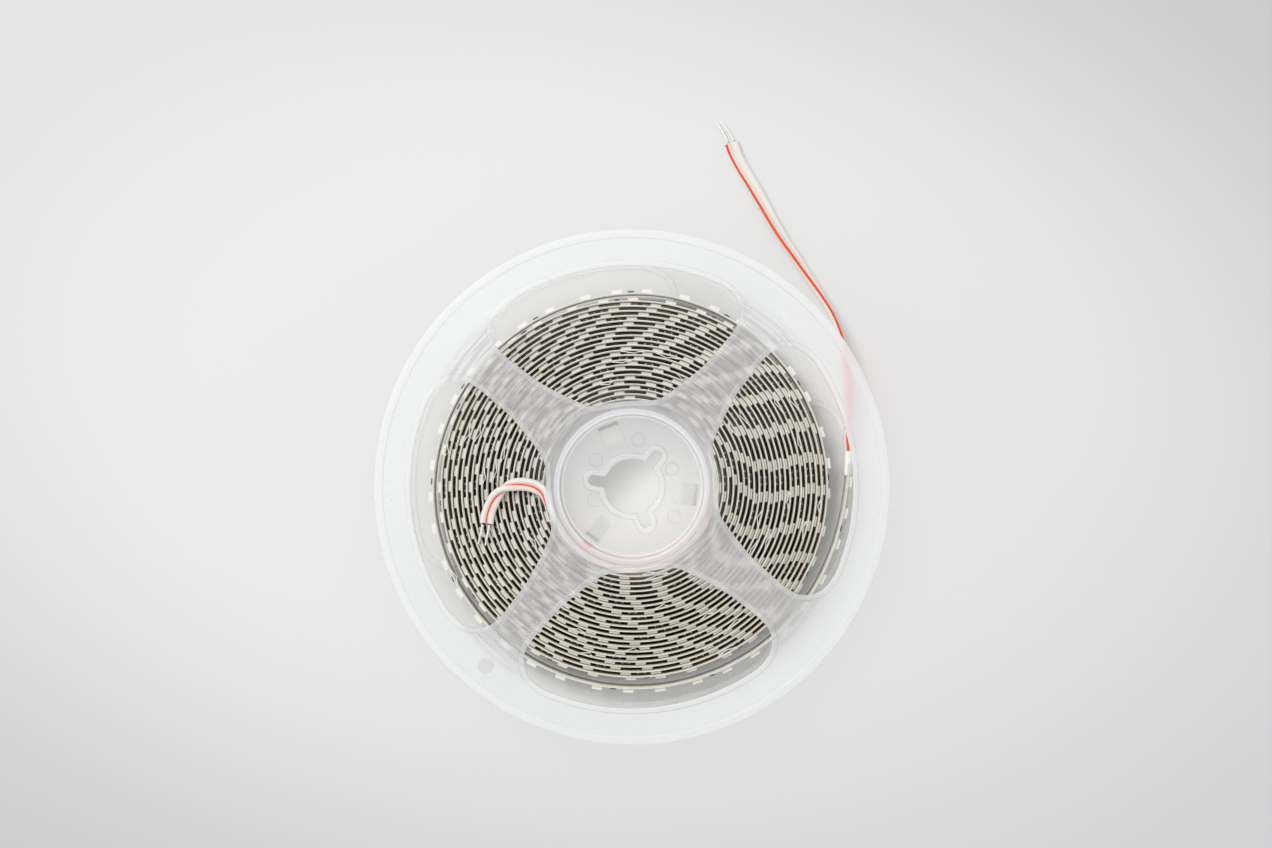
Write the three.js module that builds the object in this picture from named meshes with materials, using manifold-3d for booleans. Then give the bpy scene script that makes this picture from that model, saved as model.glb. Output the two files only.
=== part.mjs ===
import * as THREE from 'three';
import { mergeVertices } from 'three/addons/utils/BufferGeometryUtils.js';
import Module from 'manifold-3d';

// Millimetres. The reel's axis is +Z, its lower flange rests on z = 0, and +Y is the top of the photograph.

// Room left between two separate pieces that touch.
const CLEARANCE = 0.3;

// How far fused features sink into what carries them.
const SINK = 0.2;

// Strip
const STRIP_WIDTH = 8;
const STRIP_THICKNESS = 0.5;

// Flanges. A twin lead lies in the room left over the strip.
const LEAD_ROOM = 3.7;
const INNER_WIDTH = CLEARANCE + STRIP_WIDTH + LEAD_ROOM;
const FLANGE_RADIUS = 63.4;
const FLANGE_THICKNESS = 1.2;
const BEAD_HEIGHT = 0.4;
const RIM_BEAD_WIDTH = 2.2;
const WINDOW_BEAD_WIDTH = 1.35;
const RIM_STEPS = 72;
const HUB_STEPS = 48;

const LOWER_FACE = BEAD_HEIGHT + FLANGE_THICKNESS;
const UPPER_FACE = LOWER_FACE + INNER_WIDTH;
const OVERALL_HEIGHT = UPPER_FACE + FLANGE_THICKNESS + BEAD_HEIGHT;
const MID_HEIGHT = OVERALL_HEIGHT / 2;

// One side of a window's edge: the share of the way from hub ring to rim band, and the half-angle.
const RIM_BAND = 9;
const HUB_RING = 1.95;
const WINDOW_EDGE = [
  [1, 9], [1, 18], [1, 27], [0.995, 30], [0.973, 33.2], [0.949, 34.9], [0.913, 36.4], [0.841, 38.2],
  [0.729, 38.6], [0.546, 37.5], [0.398, 36], [0.251, 32.6], [0.176, 30], [0.104, 26.8], [0.065, 24.5],
  [0.029, 20.3], [0.008, 13.5], [0, 5],
];
const UPPER_WINDOW_CENTRES = [5.5, 95.5, 186, 275.5];
const LOWER_WINDOW_CENTRES = [106, 176.3, 286, 356.3];

// The lower flange's windows are narrower by this angle at each side, which leaves two wide webs.
const LOWER_WINDOW_PINCH = 10.1;

// The small hole in the upper flange that takes a strip's end.
const TAIL_HOLE_RADIUS = 1.9;
const TAIL_HOLE_INSET = 6.6;
const TAIL_HOLE_ANGLE = 230.8;

// Hub
const HUB_RADIUS = 19.2;
const HUB_WALL = 1.5;
const HUB_BORE = HUB_RADIUS - HUB_WALL;
const FLOOR_THICKNESS = 1.2;
const COLLAR_WIDTH = 1.4;
const COLLAR_HEIGHT = 1.0;
const SPINDLE_RADIUS = 6.85;
const LOBE_DEPTH = 4.05;
const LOBE_HALF_WIDTH = 1.3;
const LOBE_ANGLES = [51, 171, 291];

const LOWER_FLOOR_TOP = MID_HEIGHT - CLEARANCE / 2;
const LOWER_FLOOR_UNDERSIDE = LOWER_FLOOR_TOP - FLOOR_THICKNESS;
const UPPER_FLOOR_UNDERSIDE = MID_HEIGHT + CLEARANCE / 2;
const UPPER_FLOOR_TOP = UPPER_FLOOR_UNDERSIDE + FLOOR_THICKNESS;

// Snap hooks on the upper half, each under a window in its floor
const HOOK_ANGLES = [112, 232, 352];
const HOOK_WIDTH = 4.6;
const HOOK_THICKNESS = 1.2;
const HOOK_INNER = HUB_BORE + CLEARANCE / 2;
const HOOK_BARB = 1.1;
const HOOK_BARB_HEIGHT = 1.3;
const HOOK_WINDOW_WIDTH = 5.3;
const HOOK_WINDOW_GAP = 1.95;
const HOOK_WINDOW_START = SPINDLE_RADIUS + COLLAR_WIDTH + HOOK_WINDOW_GAP;
const HOOK_WINDOW_CORNER = 1.0;

// Light-emitting packages, carried by the last turns only
const LED_LENGTH = 2.8;
const LED_WIDTH = 3.5;
const LED_HEIGHT = 0.65;
const LED_TURNS = 3;

// The wound roll
const STRIP_BASE = LOWER_FACE + CLEARANCE;
const STRIP_MIDDLE = STRIP_BASE + STRIP_WIDTH / 2;
const TURN_STEP = 10;
const START_GAP = 2.14;
const FIRST_RADIUS = HUB_RADIUS + START_GAP;
const TURN_GAP = 0.104;
const TURN_PITCH = STRIP_THICKNESS + LED_HEIGHT + TURN_GAP;
const REGULAR_TURNS = 21;

// The strip's inner end starts this many degrees before the first turn.
const INNER_END_ANGLE = -22;

// Hand winding leaves the roll slightly oval and off centre, fully so at this many turns.
const ROLL_OVAL = 0.434;
const ROLL_DRIFT = [0.22, -0.31];
const DRIFT_TURNS = 19.5;

// The last turn has sprung loose: the angle along it, then how far it lies out from where it was wound.
const LOOSE_TURN = [
  [0, 0], [20, 0.11], [40, 0.34], [60, 0.57], [80, 0.85], [90, 0.69], [100, 0.45], [110, 0.29],
  [120, 0.19], [130, 0.15], [140, 0.21], [150, 0.29], [160, 0.42], [170, 0.64], [180, 0.8], [190, 0.93],
  [200, 1.03], [220, 1.17], [240, 1.47], [260, 1.61], [270, 1.62], [280, 1.7], [290, 1.71], [300, 1.8],
  [310, 2.01], [320, 2.25], [330, 2.43], [340, 2.58], [350, 2.92], [358, 3.48], [366, 4.36],
];

// Cover over the soldered joint at the strip's outer end, slotted to straddle the strip
const JOINT_LENGTH = 6;
const JOINT_WALL = 0.45;
const JOINT_THICKNESS = STRIP_THICKNESS + 2 * (CLEARANCE + JOINT_WALL);
const JOINT_WIDTH = 6.4;
const JOINT_CORNER = 0.4;

// Flat twin leads
const LEAD_HALF_WIDTH = 1.62;
const LEAD_HALF_THICKNESS = 0.8;
const LEAD_EDGE = 0.33;
const LEAD_FLAT = 1.15;

// Each row is x, y, z and the twist, in degrees, from flat towards on edge.
const OUTER_LEAD_PATH = [
  [53.87, 8.8, 5.9, 90], [54.1, 12.45, 5.9, 90], [54.45, 18.44, 5.9, 90], [54.3, 24.18, 5.9, 90],
  [53.5, 29.9, 5.8, 90], [52.5, 35.7, 5.4, 90], [51.5, 38.9, 5.0, 88], [49.8, 43.2, 4.2, 80],
  [47.1, 48.0, 3.4, 70], [43.9, 52.9, 2.7, 60], [41.1, 57.3, 2.2, 50], [38.1, 61.9, 1.8, 40],
  [35.5, 66.4, 1.45, 30], [32.9, 71.2, 1.2, 20], [30.2, 76.0, 1.03, 12], [28.0, 79.7, 0.94, 6],
  [26.1, 83.3, 0.86, 0], [25.0, 86.2, 0.85, 0],
];
const OUTER_LEAD_STEPS = 34;

// The inner lead first winds round the hub, on edge, at this radius: angle, then height.
const HUB_WRAP_GAP = 0.5;
const HUB_WRAP_RADIUS = HUB_RADIUS + HUB_WRAP_GAP + LEAD_HALF_THICKNESS;
const HUB_WRAP = [
  [337, 6.0], [318, 6.2], [300, 6.7], [282, 7.5], [264, 8.5], [246, 9.6], [230, 10.6], [216, 11.35],
  [205, 11.7],
];
const INNER_LEAD_RUN = [
  [-20.45, -4.9, 11.75, 75], [-21.89, -1.46, 11.7, 40], [-23.86, -0.1, 11.4, 10], [-26.29, 0.5, 11.1, 0],
  [-28.56, 0.52, 11.0, 0], [-30.76, 0.0, 10.98, 0], [-32.4, -1.11, 10.96, 0], [-33.88, -2.84, 10.95, 0],
  [-34.99, -5.07, 10.95, 0], [-35.7, -7.2, 10.95, 0], [-35.98, -9.08, 10.95, 0],
];
const INNER_LEAD_STEPS = 44;

// Bare tinned ends: where each leaves its lead and where it stops
const TINNED_RADIUS = 0.3;
const TINNED_SIDES = 8;
const TINNED_ENDS = {
  outer_lead_striped_tinned_end: [[24.05, 86.5, 0.85], [23.0, 88.7, 0.72], [21.55, 91.03, 0.5]],
  outer_lead_plain_tinned_end: [[25.55, 86.95, 0.85], [24.2, 89.2, 0.72], [22.3, 91.6, 0.5]],
  inner_lead_plain_tinned_end: [[-36.85, -9.5, 10.95], [-37.5, -11.9, 10.85], [-38.0, -14.3, 10.7]],
  inner_lead_striped_tinned_end: [[-35.25, -9.5, 10.95], [-35.8, -12.1, 10.85], [-36.3, -14.6, 10.7]],
};

const wasm = await Module();
wasm.setup();

function radians(degrees) {
  return degrees * Math.PI / 180;
}

function polar(radius, degrees) {
  return new THREE.Vector2(radius * Math.cos(radians(degrees)), radius * Math.sin(radians(degrees)));
}

function toSolid(geometry) {
  const bare = geometry.clone();
  for (const name of Object.keys(bare.attributes)) {
    if (name !== 'position') {
      bare.deleteAttribute(name);
    }
  }
  const merged = mergeVertices(bare, 1e-4);
  const mesh = new wasm.Mesh({
    numProp: 3,
    vertProperties: new Float32Array(merged.attributes.position.array),
    triVerts: new Uint32Array(merged.index.array),
  });
  mesh.merge();
  return new wasm.Manifold(mesh);
}

function fromSolid(solid) {
  const mesh = solid.getMesh();
  const geometry = new THREE.BufferGeometry();
  geometry.setAttribute('position', new THREE.BufferAttribute(new Float32Array(mesh.vertProperties), 3));
  geometry.setIndex(new THREE.BufferAttribute(new Uint32Array(mesh.triVerts), 1));
  const faceted = geometry.toNonIndexed();
  faceted.computeVertexNormals();
  return faceted;
}

function fuse(geometries) {
  return geometries.map(toSolid).reduce((whole, next) => whole.add(next));
}

// A flat outline with holes, raised from one height to another.
function plate(outline, holes, low, high) {
  const shape = new THREE.Shape(outline);
  shape.holes = holes.map((points) => new THREE.Path(points));
  const geometry = new THREE.ExtrudeGeometry(shape, { depth: high - low, bevelEnabled: false, steps: 1 });
  geometry.translate(0, 0, low);
  return geometry;
}

function circle(radius, steps, centre = new THREE.Vector2(0, 0)) {
  const points = [];
  for (let i = 0; i < steps; i += 1) {
    const point = polar(radius, 360 * i / steps);
    points.push(point.add(centre));
  }
  return points;
}

function ring(outer, inner, steps, low, high) {
  return plate(circle(outer, steps), [circle(inner, steps)], low, high);
}

function windowOutline(centre, pinch) {
  const inner = HUB_RADIUS + HUB_RING;
  const outer = FLANGE_RADIUS - RIM_BAND;
  const edge = (side) => WINDOW_EDGE.map(([share, half]) => {
    return polar(inner + (outer - inner) * share, centre + side * Math.max(half - pinch, 1));
  });
  return [polar(outer, centre), ...edge(1), ...edge(-1).reverse()];
}

// Moves a counterclockwise outline outwards by a distance.
function grow(outline, distance) {
  return outline.map((point, i) => {
    const before = outline[(i + outline.length - 1) % outline.length];
    const after = outline[(i + 1) % outline.length];
    const a = point.clone().sub(before).normalize();
    const b = after.clone().sub(point).normalize();
    const tangent = a.add(b).normalize();
    return new THREE.Vector2(point.x + tangent.y * distance, point.y - tangent.x * distance);
  });
}

// A round hole with three keyways, each with a rounded end.
function spindleOutline(extra) {
  const radius = SPINDLE_RADIUS + extra;
  const half = LOBE_HALF_WIDTH + extra;
  const reach = SPINDLE_RADIUS + LOBE_DEPTH + extra - half;
  const mouth = Math.asin(half / radius) * 180 / Math.PI;
  const points = [];
  LOBE_ANGLES.forEach((angle, i) => {
    points.push(polar(radius, angle - mouth));
    const centre = polar(reach, angle);
    for (let step = 0; step <= 6; step += 1) {
      points.push(polar(half, angle - 90 + 30 * step).add(centre));
    }
    const next = i + 1 < LOBE_ANGLES.length ? LOBE_ANGLES[i + 1] : LOBE_ANGLES[0] + 360;
    const arcStart = angle + mouth;
    const arcEnd = next - mouth;
    for (let step = 0; step < 6; step += 1) {
      points.push(polar(radius, arcStart + (arcEnd - arcStart) * step / 6));
    }
  });
  return points;
}

function hubFloor(low, high) {
  return plate(circle(HUB_BORE + SINK, HUB_STEPS), [spindleOutline(0)], low, high);
}

function spindleCollar(low, high) {
  return plate(spindleOutline(COLLAR_WIDTH), [spindleOutline(0)], low, high);
}

// A block in the hub, stated by its distance out, its width across and its height.
function hubBlock(angle, inner, outer, width, low, high) {
  const geometry = new THREE.BoxGeometry(outer - inner, width, high - low);
  geometry.translate((inner + outer) / 2, 0, (low + high) / 2);
  geometry.rotateZ(radians(angle));
  return geometry;
}

// The window in the upper floor over a hook, square at the wall and rounded towards the spindle hole.
function hookWindow(angle, low, high) {
  const half = HOOK_WINDOW_WIDTH / 2;
  const corner = HOOK_WINDOW_CORNER;
  const points = [new THREE.Vector2(HUB_BORE, -half), new THREE.Vector2(HUB_BORE, half)];
  for (const side of [1, -1]) {
    for (let step = 0; step <= 3; step += 1) {
      const turn = side > 0 ? 90 + 30 * step : 180 + 30 * step;
      const centre = new THREE.Vector2(HOOK_WINDOW_START + corner, side * (half - corner));
      points.push(polar(corner, turn).add(centre));
    }
  }
  const geometry = plate(points, [], low, high);
  geometry.rotateZ(radians(angle));
  return geometry;
}

function flangeHalf(centres, pinch, faceLow, faceHigh, beadLow, beadHigh, extraHoles) {
  const windows = centres.map((centre) => windowOutline(centre, pinch));
  const holes = [...windows, circle(HUB_BORE, HUB_STEPS), ...extraHoles];
  const disc = plate(circle(FLANGE_RADIUS, RIM_STEPS), holes, faceLow, faceHigh);
  const rim = ring(FLANGE_RADIUS, FLANGE_RADIUS - RIM_BEAD_WIDTH, RIM_STEPS, beadLow, beadHigh);
  const beads = windows.map((outline) => {
    return plate(grow(outline, WINDOW_BEAD_WIDTH), [outline], beadLow, beadHigh);
  });
  return [disc, rim, ...beads];
}

function upperFlange() {
  const top = UPPER_FACE + FLANGE_THICKNESS;
  const tailHole = circle(TAIL_HOLE_RADIUS, 16, polar(FLANGE_RADIUS - TAIL_HOLE_INSET, TAIL_HOLE_ANGLE));
  const faces = flangeHalf(
    UPPER_WINDOW_CENTRES, 0, UPPER_FACE, top, top - SINK, OVERALL_HEIGHT, [tailHole],
  );
  const wall = ring(HUB_RADIUS, HUB_BORE, HUB_STEPS, UPPER_FLOOR_UNDERSIDE, OVERALL_HEIGHT);
  const floor = hubFloor(UPPER_FLOOR_UNDERSIDE, UPPER_FLOOR_TOP);
  const collar = spindleCollar(UPPER_FLOOR_TOP - SINK, UPPER_FLOOR_TOP + COLLAR_HEIGHT);
  const barbTop = LOWER_FLOOR_UNDERSIDE - CLEARANCE;
  const barbLow = barbTop - HOOK_BARB_HEIGHT;
  const hookTop = UPPER_FLOOR_UNDERSIDE + SINK;
  const hooks = HOOK_ANGLES.flatMap((angle) => [
    hubBlock(angle, HOOK_INNER, HOOK_INNER + HOOK_THICKNESS, HOOK_WIDTH, barbLow, hookTop),
    hubBlock(angle, HOOK_INNER - HOOK_BARB, HOOK_INNER + SINK, HOOK_WIDTH, barbLow, barbTop),
  ]);
  let solid = fuse([...faces, wall, floor, collar]);
  for (const angle of HOOK_ANGLES) {
    const hole = hookWindow(angle, UPPER_FLOOR_UNDERSIDE - SINK, UPPER_FLOOR_TOP + SINK);
    solid = solid.subtract(toSolid(hole));
  }
  return fromSolid(solid.add(fuse(hooks)));
}

function lowerFlange() {
  const faces = flangeHalf(
    LOWER_WINDOW_CENTRES, LOWER_WINDOW_PINCH, BEAD_HEIGHT, LOWER_FACE, 0, BEAD_HEIGHT + SINK, [],
  );
  const wall = ring(HUB_RADIUS, HUB_BORE, HUB_STEPS, 0, LOWER_FLOOR_TOP);
  const floor = hubFloor(LOWER_FLOOR_UNDERSIDE, LOWER_FLOOR_TOP);
  const collar = spindleCollar(LOWER_FLOOR_UNDERSIDE - COLLAR_HEIGHT, LOWER_FLOOR_UNDERSIDE + SINK);
  const slotLow = LOWER_FLOOR_UNDERSIDE - 2 * CLEARANCE - HOOK_BARB_HEIGHT;
  const slotInner = HOOK_INNER - CLEARANCE;
  let solid = fuse([...faces, wall, floor, collar]);
  for (const angle of HOOK_ANGLES) {
    const slot = hubBlock(
      angle, slotInner, HUB_RADIUS + SINK, HOOK_WIDTH + 2 * CLEARANCE, slotLow, LOWER_FLOOR_TOP + SINK,
    );
    solid = solid.subtract(toSolid(slot));
  }
  return fromSolid(solid);
}

// How far the sprung turn lies out at an angle past the last regular turn.
function looseLift(angle) {
  let i = 1;
  while (i < LOOSE_TURN.length - 1 && LOOSE_TURN[i][0] < angle) {
    i += 1;
  }
  const [a0, lift0] = LOOSE_TURN[i - 1];
  const [a1, lift1] = LOOSE_TURN[i];
  return lift0 + (lift1 - lift0) * (angle - a0) / (a1 - a0);
}

// The strip's radius at a total angle counted from the start of the first turn.
function rollRadius(angle) {
  const turns = angle / 360;
  const t = radians(angle);
  const share = Math.max(turns, 0) / DRIFT_TURNS;
  const drift = ROLL_OVAL * Math.cos(2 * t) + ROLL_DRIFT[0] * Math.cos(t) + ROLL_DRIFT[1] * Math.sin(t);
  const lift = looseLift(Math.max(angle - 360 * REGULAR_TURNS, 0));
  return FIRST_RADIUS + TURN_PITCH * turns + share * drift + lift;
}

const OUTER_END_ANGLE = 360 * REGULAR_TURNS + LOOSE_TURN[LOOSE_TURN.length - 1][0];

// Joins equal rings of points into one closed surface with flat ends.
function skin(rings) {
  const count = rings[0].length;
  const positions = rings.flat().flatMap((point) => [point.x, point.y, point.z]);
  const index = [];
  for (let i = 0; i + 1 < rings.length; i += 1) {
    for (let j = 0; j < count; j += 1) {
      const a = i * count + j;
      const b = i * count + (j + 1) % count;
      index.push(a, b, b + count, a, b + count, a + count);
    }
  }
  const last = (rings.length - 1) * count;
  for (let j = 1; j + 1 < count; j += 1) {
    index.push(0, j + 1, j);
    index.push(last, last + j, last + j + 1);
  }
  const geometry = new THREE.BufferGeometry();
  geometry.setAttribute('position', new THREE.Float32BufferAttribute(positions, 3));
  geometry.setIndex(index);
  return geometry;
}

function stripRing(angle) {
  const radius = rollRadius(angle);
  const inner = polar(radius - STRIP_THICKNESS / 2, angle);
  const outer = polar(radius + STRIP_THICKNESS / 2, angle);
  const low = STRIP_BASE;
  const high = STRIP_BASE + STRIP_WIDTH;
  return [
    new THREE.Vector3(inner.x, inner.y, low),
    new THREE.Vector3(inner.x, inner.y, high),
    new THREE.Vector3(outer.x, outer.y, high),
    new THREE.Vector3(outer.x, outer.y, low),
  ];
}

function stripAngles() {
  const angles = [INNER_END_ANGLE];
  const start = Math.ceil((INNER_END_ANGLE + 1) / TURN_STEP) * TURN_STEP;
  for (let angle = start; angle < OUTER_END_ANGLE; angle += TURN_STEP) {
    angles.push(angle);
  }
  angles.push(OUTER_END_ANGLE);
  return angles;
}

// One package on the outer face of the flat between two of the strip's corners.
function ledBlock(angle) {
  const a = polar(rollRadius(angle), angle);
  const b = polar(rollRadius(angle + TURN_STEP), angle + TURN_STEP);
  const middle = a.clone().add(b).multiplyScalar(0.5);
  const along = b.clone().sub(a);
  const heading = Math.atan2(along.y, along.x);
  const geometry = new THREE.BoxGeometry(LED_LENGTH, LED_HEIGHT + SINK, LED_WIDTH);
  geometry.translate(0, -(STRIP_THICKNESS + LED_HEIGHT - SINK) / 2, 0);
  geometry.rotateZ(heading);
  geometry.translate(middle.x, middle.y, STRIP_MIDDLE);
  return geometry;
}

function ledStrip() {
  let solid = toSolid(skin(stripAngles().map(stripRing)));
  const firstLed = 360 * (REGULAR_TURNS + 1 - LED_TURNS);
  const blocks = [];
  for (let angle = firstLed; angle + TURN_STEP < OUTER_END_ANGLE; angle += TURN_STEP) {
    blocks.push(toSolid(ledBlock(angle)));
  }
  solid = solid.add(wasm.Manifold.union(blocks));
  return fromSolid(solid);
}

// Its middle is at the strip's end: half of it straddles the strip and the lead starts at the other half.
function jointCover() {
  const half = JOINT_LENGTH / 2;
  const rise = JOINT_WIDTH / 2;
  const corner = JOINT_CORNER;
  const outline = [
    [-half + corner, -rise], [half - corner, -rise], [half, -rise + corner], [half, rise - corner],
    [half - corner, rise], [-half + corner, rise], [-half, rise - corner], [-half, -rise + corner],
  ].map(([x, y]) => new THREE.Vector2(x, y));
  const block = plate(outline, [], -JOINT_THICKNESS / 2, JOINT_THICKNESS / 2);
  const slotHalf = STRIP_THICKNESS / 2 + CLEARANCE;
  const slot = new THREE.BoxGeometry(half + CLEARANCE + SINK, JOINT_WIDTH + 2 * SINK, 2 * slotHalf);
  slot.translate((CLEARANCE - half - SINK) / 2, 0, 0);
  const geometry = fromSolid(toSolid(block).subtract(toSolid(slot)));
  const end = polar(rollRadius(OUTER_END_ANGLE), OUTER_END_ANGLE);
  const before = polar(rollRadius(OUTER_END_ANGLE - TURN_STEP / 2), OUTER_END_ANGLE - TURN_STEP / 2);
  const heading = Math.atan2(end.y - before.y, end.x - before.x);
  geometry.rotateX(Math.PI / 2);
  geometry.rotateZ(heading);
  geometry.translate(end.x, end.y, STRIP_MIDDLE);
  return geometry;
}

// A flat twin lead along a path whose points carry their own twist.
function lead(path, steps) {
  const points = path.map(([x, y, z]) => new THREE.Vector3(x, y, z));
  const curve = new THREE.CatmullRomCurve3(points, false, 'centripetal');
  const section = [
    [LEAD_HALF_WIDTH, -LEAD_EDGE], [LEAD_HALF_WIDTH, LEAD_EDGE], [LEAD_FLAT, LEAD_HALF_THICKNESS],
    [-LEAD_FLAT, LEAD_HALF_THICKNESS], [-LEAD_HALF_WIDTH, LEAD_EDGE], [-LEAD_HALF_WIDTH, -LEAD_EDGE],
    [-LEAD_FLAT, -LEAD_HALF_THICKNESS], [LEAD_FLAT, -LEAD_HALF_THICKNESS],
  ];
  const up = new THREE.Vector3(0, 0, 1);
  const rings = [];
  for (let i = 0; i <= steps; i += 1) {
    const t = i / steps;
    const place = t * (path.length - 1);
    const k = Math.min(Math.floor(place), path.length - 2);
    const twist = radians(path[k][3] + (path[k + 1][3] - path[k][3]) * (place - k));
    const centre = curve.getPoint(t);
    const along = curve.getTangent(t);
    const side = along.clone().cross(up).normalize();
    const normal = side.clone().cross(along);
    const wide = side.clone().multiplyScalar(Math.cos(twist)).addScaledVector(normal, Math.sin(twist));
    const thick = normal.clone().multiplyScalar(Math.cos(twist)).addScaledVector(side, -Math.sin(twist));
    rings.push(section.map(([w, t2]) => centre.clone().addScaledVector(wide, w).addScaledVector(thick, t2)));
  }
  return outward(skin(rings));
}

function tinnedEnd(points) {
  const curve = new THREE.CatmullRomCurve3(points.map((point) => new THREE.Vector3(...point)));
  const up = new THREE.Vector3(0, 0, 1);
  const rings = [];
  const steps = 4;
  for (let i = 0; i <= steps; i += 1) {
    const centre = curve.getPoint(i / steps);
    const along = curve.getTangent(i / steps);
    const side = along.clone().cross(up).normalize();
    const normal = side.clone().cross(along);
    const ring = [];
    for (let j = 0; j < TINNED_SIDES; j += 1) {
      const turn = 2 * Math.PI * j / TINNED_SIDES;
      ring.push(centre.clone()
        .addScaledVector(side, TINNED_RADIUS * Math.cos(turn))
        .addScaledVector(normal, TINNED_RADIUS * Math.sin(turn)));
    }
    rings.push(ring);
  }
  return outward(skin(rings));
}

// Turns a closed surface's faces outwards.
function outward(geometry) {
  const positions = geometry.attributes.position;
  const index = Array.from(geometry.index.array);
  const a = new THREE.Vector3();
  const b = new THREE.Vector3();
  const c = new THREE.Vector3();
  let volume = 0;
  for (let i = 0; i < index.length; i += 3) {
    a.fromBufferAttribute(positions, index[i]);
    b.fromBufferAttribute(positions, index[i + 1]);
    c.fromBufferAttribute(positions, index[i + 2]);
    volume += a.dot(b.cross(c)) / 6;
  }
  if (volume < 0) {
    geometry.setIndex(index.reverse());
  }
  geometry.computeVertexNormals();
  return geometry;
}

const wrap = HUB_WRAP.map(([angle, height]) => {
  const place = polar(HUB_WRAP_RADIUS, angle);
  return [place.x, place.y, height, 90];
});

const pieces = {
  upper_flange: [upperFlange(), 0xe9ebe8],
  lower_flange: [lowerFlange(), 0xe1e3e0],
  led_strip: [ledStrip(), 0xd6d1be],
  outer_joint_cover: [jointCover(), 0xf1efe8],
  outer_lead: [lead(OUTER_LEAD_PATH, OUTER_LEAD_STEPS), 0xf3efea],
  inner_lead: [lead([...wrap, ...INNER_LEAD_RUN], INNER_LEAD_STEPS), 0xf0dcd6],
};
for (const [name, points] of Object.entries(TINNED_ENDS)) {
  pieces[name] = [tinnedEnd(points), 0x9a978f];
}

const reel = new THREE.Group();
reel.name = 'led_strip_light_reel';
for (const [name, [geometry, color]] of Object.entries(pieces)) {
  const mesh = new THREE.Mesh(geometry, new THREE.MeshStandardMaterial({ color, name }));
  mesh.name = name;
  reel.add(mesh);
}

export default reel;
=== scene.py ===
"""A frosted plastic reel of LED strip, lying flat and seen from straight above."""

import math

import bmesh
import bpy
import numpy as np
from mathutils.geometry import delaunay_2d_cdt
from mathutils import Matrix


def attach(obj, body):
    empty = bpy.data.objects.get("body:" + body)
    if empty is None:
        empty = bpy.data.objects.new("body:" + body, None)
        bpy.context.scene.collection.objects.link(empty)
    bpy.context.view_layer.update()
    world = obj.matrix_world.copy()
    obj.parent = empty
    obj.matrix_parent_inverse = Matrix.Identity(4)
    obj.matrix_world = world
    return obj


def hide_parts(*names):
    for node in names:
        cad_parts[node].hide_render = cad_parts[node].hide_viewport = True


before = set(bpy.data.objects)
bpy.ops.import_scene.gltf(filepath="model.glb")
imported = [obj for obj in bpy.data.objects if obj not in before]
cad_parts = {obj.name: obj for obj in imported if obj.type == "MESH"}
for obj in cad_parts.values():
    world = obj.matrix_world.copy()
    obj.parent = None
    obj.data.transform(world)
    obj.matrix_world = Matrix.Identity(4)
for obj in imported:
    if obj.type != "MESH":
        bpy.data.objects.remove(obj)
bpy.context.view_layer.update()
bpy.context.scene.view_settings.view_transform = "Standard"

MM = 0.001

# Sizes in millimetres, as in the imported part. The part lies on z = 0 with its axis on the origin
FLANGE_RADIUS = 63.4
OVERALL_HEIGHT = 15.2
UPPER_FACE = 13.6
DISC_TOP = 14.8
RIM_BEAD_WIDTH = 2.2
WINDOW_BEAD_WIDTH = 1.35
RIM_BAND = 9.0
HUB_RING = 1.95
HUB_RADIUS = 19.2
HUB_BORE = 17.7
FLOOR_LOW = 7.75
FLOOR_TOP = 8.95
COLLAR_TOP = 9.95
COLLAR_WIDTH = 1.4
SPINDLE_RADIUS = 6.85
LOBE_DEPTH = 4.05
LOBE_HALF_WIDTH = 1.3
LOBE_ANGLES = (51, 171, 291)
HOOK_ANGLES = (112, 232, 352)
STRIP_LOW = 1.9
STRIP_TOP = 9.9
STRIP_MIDDLE = 5.9
TURN_PITCH = 1.254
LED_LENGTH = 2.8
LED_WIDTH = 3.5
LED_HEIGHT = 0.65

# Places that are the scene's own: the film's outer face and the liner's inner face beside the strip's
# middle line, how far the packages sit above the strip's middle and how far the outermost ones stand out
FILM_OUT = 0.19
LINER_IN = -0.2
PACKAGE_RAISE = 1.35
PACKAGE_PROUD = 1.0


# ---------------------------------------------------------------- meshes

def polar(radius, degrees):
    """Points at a radius and an angle in degrees about the reel's axis."""
    turn = np.radians(degrees)
    return np.stack([radius * np.cos(turn), radius * np.sin(turn)], axis=-1)


def spline(points, steps, closed):
    """Centripetal Catmull-Rom curve: each span is the cubic between two points whose end slopes follow
    the points before and after, spaced by the square root of their distance."""
    p = np.asarray(points, float)
    if closed:
        ring = np.concatenate([p[-1:], p, p[:2]])
    else:
        ring = np.concatenate([2 * p[:1] - p[1:2], p, 2 * p[-1:] - p[-2:-1]])
    p0, p1, p2, p3 = ring[:-3], ring[1:-2], ring[2:-1], ring[3:]
    d0 = np.sqrt(np.linalg.norm((p1 - p0)[:, :3], axis=1))[:, None]
    d1 = np.sqrt(np.linalg.norm((p2 - p1)[:, :3], axis=1))[:, None]
    d2 = np.sqrt(np.linalg.norm((p3 - p2)[:, :3], axis=1))[:, None]
    m1 = ((p1 - p0) / d0 - (p2 - p0) / (d0 + d1) + (p2 - p1) / d1) * d1
    m2 = ((p2 - p1) / d1 - (p3 - p1) / (d1 + d2) + (p3 - p2) / d2) * d1
    t = (np.arange(steps) / steps)[None, :, None]
    curve = ((2 * t**3 - 3 * t**2 + 1) * p1[:, None] + (t**3 - 2 * t**2 + t) * m1[:, None]
             + (3 * t**2 - 2 * t**3) * p2[:, None] + (t**3 - t**2) * m2[:, None])
    curve = curve.reshape(-1, p.shape[1])
    return curve if closed else np.concatenate([curve, p[-1:]])


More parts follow.
